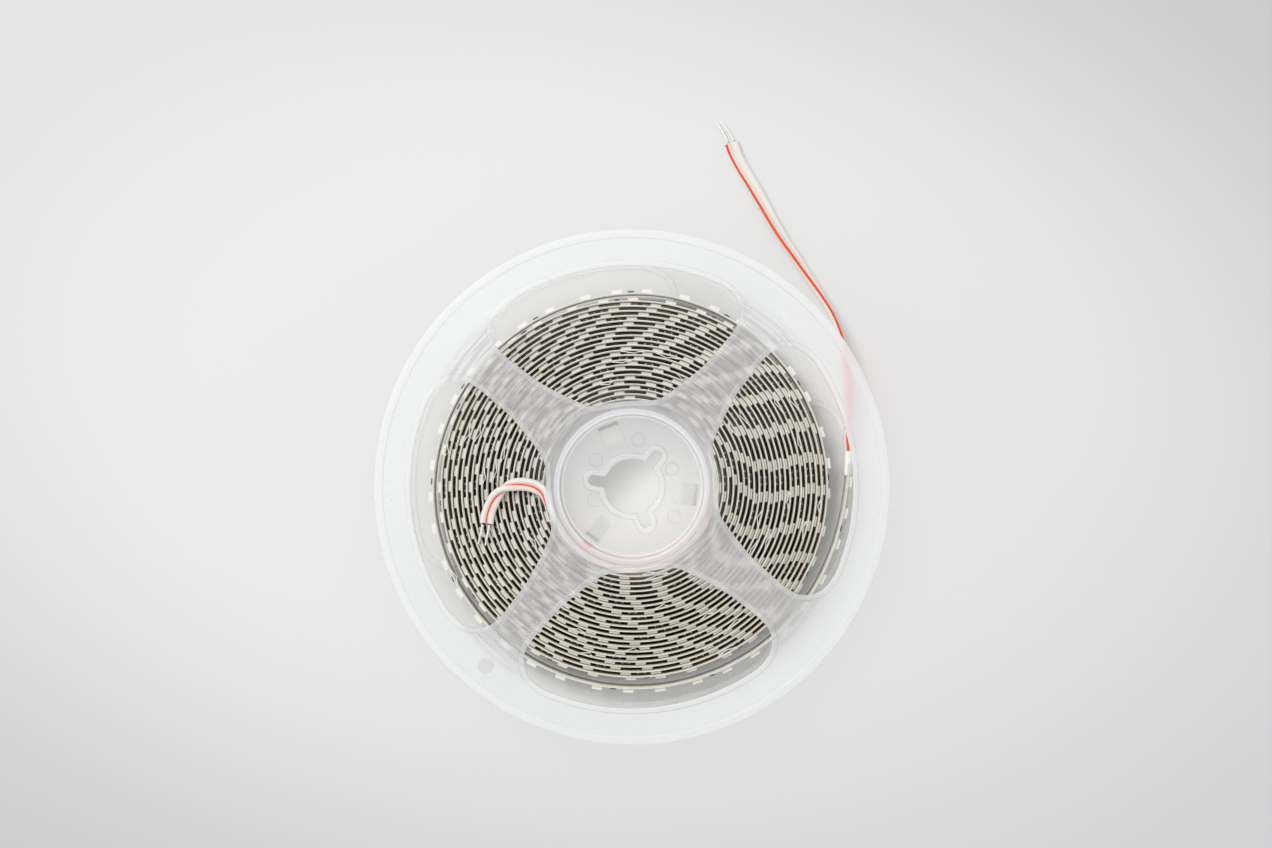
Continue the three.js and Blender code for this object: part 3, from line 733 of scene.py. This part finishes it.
# A window's edge, clockwise from its middle at the hub: the share of its reach out from the hub ring, and
# the half-angle there in degrees
WINDOW_EDGE = [
    (1, 9), (1, 18), (1, 27), (0.995, 30), (0.973, 33.2), (0.949, 34.9), (0.913, 36.4), (0.841, 38.2),
    (0.729, 38.6), (0.546, 37.5), (0.398, 36), (0.251, 32.6), (0.176, 30), (0.104, 26.8), (0.065, 24.5),
    (0.029, 20.3), (0.008, 13.5), (0, 5),
]


def circle(radius, count, centre=(0, 0)):
    """A circle as evenly spaced points."""
    return polar(radius, np.arange(count) * 360 / count) + centre


def window(centre, pinch):
    """A window's edge: a smooth closed curve through the measured shares and half-angles."""
    share, half = np.array(WINDOW_EDGE).T
    inner = HUB_RADIUS + HUB_RING
    radius = inner + (FLANGE_RADIUS - RIM_BAND - inner) * share
    half = np.maximum(half - pinch, 1)
    left = polar(radius, centre + half)
    right = polar(radius, centre - half)
    loop = np.concatenate([polar(radius[:1], np.array([centre])), left, right[::-1]])
    return evenly(spline(loop, 12, True), 260)


def spindle(extra):
    """The spindle hole grown by a distance: a round hole with three keyways that end in half circles."""
    radius = SPINDLE_RADIUS + extra
    half = LOBE_HALF_WIDTH + extra
    reach = SPINDLE_RADIUS + LOBE_DEPTH + extra - half
    mouth = math.degrees(math.asin(half / radius))
    parts = []
    for angle in LOBE_ANGLES:
        parts.append(polar(radius, np.array([angle - mouth])))
        parts.append(polar(half, angle - 90 + np.linspace(0, 180, 17)) + polar(reach, angle))
        parts.append(polar(radius, np.linspace(angle + mouth, angle + 120 - mouth, 20)[:-1]))
    return np.concatenate(parts)


def snap_window(angle, start, end, width, corner):
    """A rounded slot in the hub floor, from one distance out to another."""
    half = width / 2
    parts = []
    for along, across, turn in ((end, -half, -90), (end, half, 0), (start, half, 90), (start, -half, 180)):
        radius, inwards = (corner, corner) if along == start else (SNAP_OUTER_CORNER, -SNAP_OUTER_CORNER)
        middle = np.array([along + inwards, across - math.copysign(radius, across)])
        parts.append(middle + polar(radius, turn + np.linspace(0, 90, 7)))
    loop = np.concatenate(parts)
    turn = math.radians(angle)
    return np.stack([loop[:, 0] * math.cos(turn) - loop[:, 1] * math.sin(turn),
                     loop[:, 0] * math.sin(turn) + loop[:, 1] * math.cos(turn)], axis=-1)


def reel_half(centres, pinch, snaps, tail_hole):
    """One moulding, as the upper half lies: every outline carries its own softened profile, and level
    faces fill between them."""
    patches = []

    def edged(outline, corners, cuts):
        patches.append((*band(outline, softened(corners, cuts)), 0, True))

    def filled(height, outer, holes):
        patches.append((*flat(height, outer, holes), 0, False))

    windows = [window(centre, pinch) for centre in centres]
    low, high, top = UPPER_FACE, DISC_TOP, OVERALL_HEIGHT
    edged(lambda offset: circle(FLANGE_RADIUS - offset, 360),
          [(FLANGE_RADIUS - UNDER_OUTER, low), (0, low), (0, top), (RIM_BEAD_WIDTH, top),
           (RIM_BEAD_WIDTH, high), (FLANGE_RADIUS - DISC_OUTER, high)],
          [0.2, 0.35, 0.3, 0.12])
    for loop in windows:
        edged(lambda offset, loop=loop: moved_out(loop, offset),
              [(WINDOW_LOW_FOOT, low), (0, low), (0, top), (WINDOW_BEAD_WIDTH, top), (WINDOW_BEAD_WIDTH, high),
               (WINDOW_TOP_FOOT, high)],
              [0.2, 0.3, 0.3, 0.12])
    edged(lambda radius: circle(radius, 240),
          [(DISC_INNER, high), (HUB_RADIUS, high), (HUB_RADIUS, top), (HUB_BORE, top), (HUB_BORE, FLOOR_TOP),
           (FLOOR_OUTER, FLOOR_TOP)], [0.1, 0.3, 0.35, 0.4])
    edged(lambda radius: circle(radius, 240),
          [(UNDER_INNER, low), (HUB_RADIUS, low), (HUB_RADIUS, FLOOR_LOW), (FLOOR_UNDER_OUTER, FLOOR_LOW)],
          [0.25, 0.25])
    edged(spindle,
          [(COLLAR_FOOT, FLOOR_TOP), (COLLAR_WIDTH, FLOOR_TOP), (COLLAR_WIDTH, COLLAR_TOP), (0, COLLAR_TOP),
           (0, FLOOR_LOW), (SPINDLE_LOW_FOOT, FLOOR_LOW)], [0.2, 0.35, 0.35, 0.15])
    for loop in snaps:
        edged(lambda offset, loop=loop: moved_out(loop, offset),
              [(SNAP_TOP_FOOT, FLOOR_TOP), (0, FLOOR_TOP), (0, FLOOR_LOW), (SNAP_LOW_FOOT, FLOOR_LOW)],
              [0.22, 0.08])
    small = []
    if tail_hole is not None:
        radius, centre = tail_hole
        edged(lambda offset: circle(radius + offset, 48, centre),
              [(TAIL_HOLE_FOOT, high), (0, high), (0, low), (TAIL_HOLE_FOOT, low)], [0.12, 0.12])
        small = [circle(radius + TAIL_HOLE_FOOT, 48, centre)]

    def grown(loops, distance):
        return [moved_out(loop, distance) for loop in loops]

    filled(high, circle(DISC_OUTER, 360), grown(windows, WINDOW_TOP_FOOT) + [circle(DISC_INNER, 240)] + small)
    filled(low, circle(UNDER_OUTER, 360), grown(windows, WINDOW_LOW_FOOT) + [circle(UNDER_INNER, 240)] + small)
    filled(FLOOR_TOP, circle(FLOOR_OUTER, 240), [spindle(COLLAR_FOOT)] + grown(snaps, SNAP_TOP_FOOT))
    filled(FLOOR_LOW, circle(FLOOR_UNDER_OUTER, 240), [spindle(SPINDLE_LOW_FOOT)] + grown(snaps, SNAP_LOW_FOOT))
    return patches


def pin_mark(centre):
    """A faint raised ring that an ejector pin leaves on the hub floor."""
    foot, crest = FLOOR_TOP - 0.05, FLOOR_TOP + 0.07
    section = [(-0.12, foot), (-0.06, crest), (0.06, crest), (0.12, foot), (-0.12, foot)]
    return (*band(lambda offset: circle(1.6 + offset, 40, centre), section), 0, True)


UPPER_WINDOW_ANGLES = (5.5, 95.5, 186, 275.5)
LOWER_WINDOW_ANGLES = (106, 176.3, 286, 356.3)
LOWER_WINDOW_PINCH = 10.1
UPPER_SNAP_WIDTHS = (5.2, 3.7, 5.3)
LOWER_SNAP_WIDTH = 5.2
TAIL_HOLE_RADIUS = 1.9
TAIL_HOLE_CENTRE = polar(FLANGE_RADIUS - 6.6, 230.8)
PIN_MARKS = [(9.94, 4.28), (1.5, 11.48), (-8.93, 6.51), (-9.42, -3.41), (10.43, -7.63)]

upper_snaps = [snap_window(angle, start=10.2, end=SNAP_OUTER, width=width, corner=1.0)
               for angle, width in zip(HOOK_ANGLES, UPPER_SNAP_WIDTHS)]
lower_snaps = [snap_window(angle, start=15.6, end=SNAP_OUTER, width=LOWER_SNAP_WIDTH, corner=0.4)
               for angle in HOOK_ANGLES]
above = reel_half(UPPER_WINDOW_ANGLES, 0, upper_snaps, (TAIL_HOLE_RADIUS, TAIL_HOLE_CENTRE))
above += [pin_mark(centre) for centre in PIN_MARKS]
upper_half = piece("reel_upper_half", above, [upper_plastic], weld=True)
below = [(points * (1, 1, -1) + (0, 0, OVERALL_HEIGHT), faces[:, ::-1], slot, smooth)
         for points, faces, slot, smooth
         in reel_half(LOWER_WINDOW_ANGLES, LOWER_WINDOW_PINCH, lower_snaps, None)]
lower_half = piece("reel_lower_half", below, [lower_plastic_painted_light_and_shade], weld=True)
for made, node, slot in ((upper_half, "upper_flange", "frosted_plastic"),
                         (lower_half, "lower_flange", "frosted_plastic_lower")):
    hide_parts(node)
    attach(made, "root")


# ---------------------------------------------------------------- strip

FIRST_RADIUS = 21.34
REGULAR_TURNS = 21
INNER_END_ANGLE = -22
LAST_TURN_SPAN = 366
OUTER_END_ANGLE = 360 * REGULAR_TURNS + LAST_TURN_SPAN
ROLL_OVAL = 0.434
ROLL_DRIFT = (0.22, -0.31)
DRIFT_TURNS = 19.5
# How far the last turn has sprung out, by its angle in degrees
LOOSE_TURN = np.array([
    (0, 0), (20, 0.11), (40, 0.34), (60, 0.57), (80, 0.85), (90, 0.69), (100, 0.45), (110, 0.29),
    (120, 0.19), (130, 0.15), (140, 0.21), (150, 0.29), (160, 0.42), (170, 0.64), (180, 0.8), (190, 0.93),
    (200, 1.03), (220, 1.17), (240, 1.47), (260, 1.61), (270, 1.62), (280, 1.7), (290, 1.71), (300, 1.8),
    (310, 2.01), (320, 2.25), (330, 2.43), (340, 2.58), (350, 2.92), (358, 3.48), (366, 4.36),
])


def roll_radius(angle):
    """The strip's middle radius at a total angle: a steady spiral, slightly oval and off centre, plus how
    far the last turn has sprung out."""
    turns = angle / 360
    t = np.radians(angle)
    share = np.maximum(turns, 0) / DRIFT_TURNS
    drift = ROLL_OVAL * np.cos(2 * t) + ROLL_DRIFT[0] * np.cos(t) + ROLL_DRIFT[1] * np.sin(t)
    lift = np.interp(angle - 360 * REGULAR_TURNS, LOOSE_TURN[:, 0], LOOSE_TURN[:, 1])
    return FIRST_RADIUS + TURN_PITCH * turns + share * drift + lift


fine_angles = np.linspace(INNER_END_ANGLE, OUTER_END_ANGLE, 16000)
fine_line = polar(roll_radius(fine_angles), fine_angles)
fine_length = np.concatenate([[0], np.cumsum(np.linalg.norm(np.diff(fine_line, axis=0), axis=1))])


def on_strip(length):
    """Where the strip's middle is at a length from its inner end, with its direction and outward normal."""
    spot, ahead, behind = (np.stack([np.interp(place, fine_length, fine_line[:, k]) for k in range(2)], axis=-1)
                           for place in (length, length + 0.4, length - 0.4))
    along = ahead - behind
    along /= np.linalg.norm(along, axis=1, keepdims=True)
    return spot, along, np.stack([along[:, 1], -along[:, 0]], axis=-1)


def wound(name, materials, loose_from, inner, outer, low, high, bevel, waver, seed):
    """One layer of the strip wound on the roll: a four-cornered section with softened top corners, carried
    along the spiral, its top edge wavering by a sum of sines. From a total angle on, where the roll has
    sprung open, it takes the second material, whose faces are pale: the first has painted shade on its faces
    for the gaps between wound turns."""
    angle = np.linspace(INNER_END_ANGLE, OUTER_END_ANGLE, 2640)
    radius = roll_radius(angle)
    turn = np.radians(angle)
    waves = (np.sin(turn * 3.7 + seed) + np.sin(turn * 8.3 + 2 * seed)
             + 0.7 * np.sin(turn * 17.9 + 3 * seed))
    lift = waver * waves / 2
    offsets = np.array([inner, inner, inner + bevel, outer - bevel, outer, outer])
    heights = np.array([low, high - bevel, high, high, high - bevel, low])
    raised = np.array([0, 1, 1, 1, 1, 0])
    radii = radius[:, None] + offsets
    flat_points = np.stack([radii * np.cos(turn)[:, None], radii * np.sin(turn)[:, None]], axis=-1)
    height = heights + raised * lift[:, None]
    rings = np.concatenate([flat_points, height[..., None]], axis=-1)
    slots = np.repeat(angle[:-1] > loose_from, len(offsets)).astype(int)
    return piece(name, rod(rings, slots, True, 1), materials, weld=True)


film = wound("strip_film", [film_wound_backing_and_shade, film_loose], loose_from=360 * 20 + 40, inner=-0.02, outer=FILM_OUT,
             low=STRIP_LOW, high=STRIP_TOP - 0.04, bevel=0.04, waver=0.03, seed=1.0)
liner = wound("strip_liner", [liner_wound_backing_and_shade, liner_loose], loose_from=360 * 21 + 20, inner=LINER_IN,
              outer=LINER_IN + 0.1, low=STRIP_LOW + 0.1, high=STRIP_TOP - 0.06, bevel=0.02, waver=0.05, seed=2.0)


def boxes(middles, alongs, outs, template, faces):
    """Copies a small shape to many places on the strip: middle + x along + y out + z up."""
    spots = np.concatenate([middles, np.full((len(middles), 1), STRIP_MIDDLE + PACKAGE_RAISE)], axis=1)
    zero = np.zeros((len(middles), 1))
    along = np.concatenate([alongs, zero], axis=1)
    out = np.concatenate([outs, zero], axis=1)
    points = (spots[:, None] + template[None, :, :1] * along[:, None] + template[None, :, 1:2] * out[:, None]
              + template[None, :, 2:] * np.array([0, 0, 1.0]))
    shift = (np.arange(len(middles)) * len(template))[:, None, None]
    return points.reshape(-1, 3), (faces[None] + shift).reshape(-1, 4)


def block(x0, x1, y0, y1, z0, z1):
    """A small brick, its six faces outwards once boxes() has laid its x along the strip and its y out."""
    points = np.array([[x, y, z] for x in (x0, x1) for y in (y0, y1) for z in (z0, z1)], float)
    faces = np.array([[2, 3, 1, 0], [5, 7, 6, 4], [1, 5, 4, 0], [6, 7, 3, 2], [4, 6, 2, 0], [3, 7, 5, 1]])
    return points, faces


def dished(x, z, y0, y1, rim, dish):
    """A package body: a brick whose outward face has a raised rim round a shallow dish."""
    corner = np.array([[-1, -1], [1, -1], [1, 1], [-1, 1]], float)
    rings = [np.column_stack([corner[:, 0] * (x - inset), np.full(4, y), corner[:, 1] * (z - inset)])
             for inset, y in ((0, y0), (0, y1 - 0.08), (0.08, y1), (rim, y1), (rim + 0.1, y1 - dish))]
    points, quads = grid(np.array(rings), wrap_columns=True)
    return points, np.concatenate([quads, [[3, 2, 1, 0]]]), np.array([[16, 17, 18, 19]])


# One cut length of strip holds three packages and a resistor. The slip, by length along the strip, sets how
# the packages of neighbouring turns line up
UNIT = 25.0
PACKAGES_IN_UNIT = (0, 7.83, 17.17)
RESISTOR_IN_UNIT = 21.1
BARE_INNER_END = 3
BARE_OUTER_END = 4.5
PACKAGE_SLIP = np.array([
    (0, 25), (450, 30.6), (700, 33.3), (900, 35.3), (1140, 37), (1440, 39.3), (1700, 40.2), (2200, 40.4),
    (2540, 39.8), (2910, 37.9), (3170, 35.9), (3430, 33.7), (3700, 30.8), (3980, 27.3), (4270, 22.9),
    (4490, 18.9), (4650, 16.2), (4800, 15.6), (4900, 15.6),
])
unit_starts = UNIT * np.arange(-2, 198)
for _ in range(4):
    unit_starts = UNIT * np.arange(-2, 198) + np.interp(unit_starts, PACKAGE_SLIP[:, 0], PACKAGE_SLIP[:, 1])


def on_film(places):
    """Those of the places that lie clear of the strip's two ends."""
    return places[(places > BARE_INNER_END) & (places < fine_length[-1] - BARE_OUTER_END)]


def package_body(reach):
    """A package that stands out from the film's middle by a reach: its points, its body and its dish."""
    return dished(LED_LENGTH / 2 - 0.12, LED_WIDTH / 2, FILM_OUT - 0.02, reach, rim=0.28, dish=0.1)


led_places = on_film((unit_starts[:, None] + np.array(PACKAGES_IN_UNIT)).ravel())
last_turn = np.interp(OUTER_END_ANGLE - LAST_TURN_SPAN, fine_angles, fine_length)
lip = LED_LENGTH / 2
foot_left = block(-lip, -lip + 0.5, FILM_OUT, FILM_OUT + 0.2, -1.3, 1.3)
foot_right = block(lip - 0.5, lip, FILM_OUT, FILM_OUT + 0.2, -1.3, 1.3)
package_patches = []
# Packages on the wound turns take the painted-shade copy of the white, those on the last turn the brighter one.
for places, reach, body_slot in ((led_places[led_places <= last_turn], FILM_OUT + LED_HEIGHT + 0.05, 0),
                                 (led_places[led_places > last_turn], FILM_OUT + PACKAGE_PROUD, 3)):
    spread = on_strip(places)
    body_points, body_faces, dish_face = package_body(reach)
    for template, faces, slot in ((body_points, body_faces, body_slot), (body_points, dish_face, 1),
                                  (*foot_left, 2), (*foot_right, 2)):
        package_patches.append((*boxes(*spread, template, faces), slot, False))
packages = piece("led_packages", package_patches, [package_white_painted_shade, phosphor, terminal, package_bright])

spread = on_strip(on_film(unit_starts + RESISTOR_IN_UNIT))
resistor_bricks = ((-0.7, 0.7, 0.5, 0.6, 0), (-1.0, -0.7, 0.52, 0.62, 1), (0.7, 1.0, 0.52, 0.62, 1))
resistors = piece("chip_resistors", [
    (*boxes(*spread, *block(x0, x1, FILM_OUT, FILM_OUT + tall, -half, half)), slot, False)
    for x0, x1, tall, half, slot in resistor_bricks
], [resistor_body, terminal])


# Where creases of liner show: the angle about the axis in degrees, and the distance from it
KINKS = [
    (28, 45.3), (169, 47.0), (207, 49.0), (300, 47.3), (354, 47.0), (15, 42.8), (29.5, 41.8), (162, 43.5),
    (161, 41.1), (176, 37.3), (173, 34.8), (166, 33.3), (90, 34.6), (95, 32.1), (75, 33.6), (65, 29.9),
    (104, 27.1), (32, 32.6), (30, 28.6), (270, 40.8), (255, 43.3), (250, 38.3), (307, 42.0), (346, 43.8),
    (355, 39.1), (300, 36.9), (338, 36.1), (332, 33.3), (346, 32.6), (284, 30.6), (286, 23.9), (281, 22.6),
    (210, 28.4),
]


def kinked_liner():
    """Creases of liner that have lifted off the strip: each is a thin ribbon on edge that leaves the strip,
    folds sharply in the gap beside it and comes back, (along, across) in millimetres."""
    generator = np.random.default_rng(7)
    patches = []
    for angle, reach in KINKS:
        turns = np.round((reach - roll_radius(angle)) / TURN_PITCH)
        total = angle + 360 * np.clip(turns, 0, REGULAR_TURNS)
        place = np.interp(total, fine_angles, fine_length)
        long = generator.uniform(1.6, 3.4)
        deep = generator.uniform(0.5, 0.8)
        lean = generator.uniform(-0.9, 0.9)
        along = np.array([-long, -long * 0.45, lean * 0.7, lean, lean + 0.25, long * 0.55, long * 0.9])
        across = LINER_IN - np.array([0.0, 0.35 * deep, 0.95 * deep, deep, 0.8 * deep, 0.25 * deep, 0.0])
        spot, _, out = on_strip(place + along)
        line = spot + out * across[:, None]
        thick = out * 0.085
        low = np.full(len(line), STRIP_TOP - generator.uniform(0.7, 1.5))
        high = STRIP_TOP + generator.uniform(0.02, 0.12) - np.abs(along - lean) * generator.uniform(0.0, 0.04)
        rings = np.stack([np.column_stack([line + side, height]) for side, height
                          in ((-thick, low), (-thick, high), (thick, high), (thick, low))], axis=1)
        patches += rod(rings, 0, False, 0)
    return patches


kinks = piece("liner_kinks", kinked_liner(), [crease_white], weld=True)

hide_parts("led_strip")
for made in (film, liner, packages, resistors, kinks):
    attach(made, "root")


# ---------------------------------------------------------------- joint cover

COVER_HEADING = 87
COVER_HALF_HEIGHT = 3.2
# The cover's outer and inner skin: places along it, each with the outline's size there
COVER_OUTSIDE = [
    (-3.0, 0.8), (-2.9, 0.93), (-2.4, 1.0), (-1, 1.0), (1, 0.99), (2.4, 1.0), (2.9, 0.93), (3.0, 0.8),
]
COVER_WITHIN = [(3.0, 0.62), (2.8, 0.56), (-2.8, 0.56), (-3.0, 0.62)]


def sleeve():
    """A flattened sleeve round the strip's soldered end: a rounded oblong outline, |x/a|^4 + |z/b|^4 = 1,
    carried along and closed over a smaller one inside."""
    t = np.linspace(0, 2 * np.pi, 40, endpoint=False)
    shape = np.stack([np.cos(t), np.sin(t)], axis=-1)
    shape = np.sign(shape) * np.abs(shape) ** 0.5
    end, _, _ = on_strip(fine_length[-1:])
    heading = math.radians(COVER_HEADING)
    along = np.array([math.cos(heading), math.sin(heading), 0])
    out = np.array([math.sin(heading), -math.cos(heading), 0])
    middle = np.array([*end[0], STRIP_MIDDLE])
    rings = []
    for place, size in COVER_OUTSIDE + COVER_WITHIN:
        across = shape[:, :1] * size * out
        upright = shape[:, 1:] * (COVER_HALF_HEIGHT - (1 - size)) * np.array([0, 0, 1.0])
        rings.append(middle + along * place + across + upright)
    return grid(np.array(rings), wrap_rows=True, wrap_columns=True)


cover = piece("joint_sleeve", [(*sleeve(), 0, True)], [joint_white], weld=True)
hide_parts("outer_joint_cover")
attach(cover, "root")
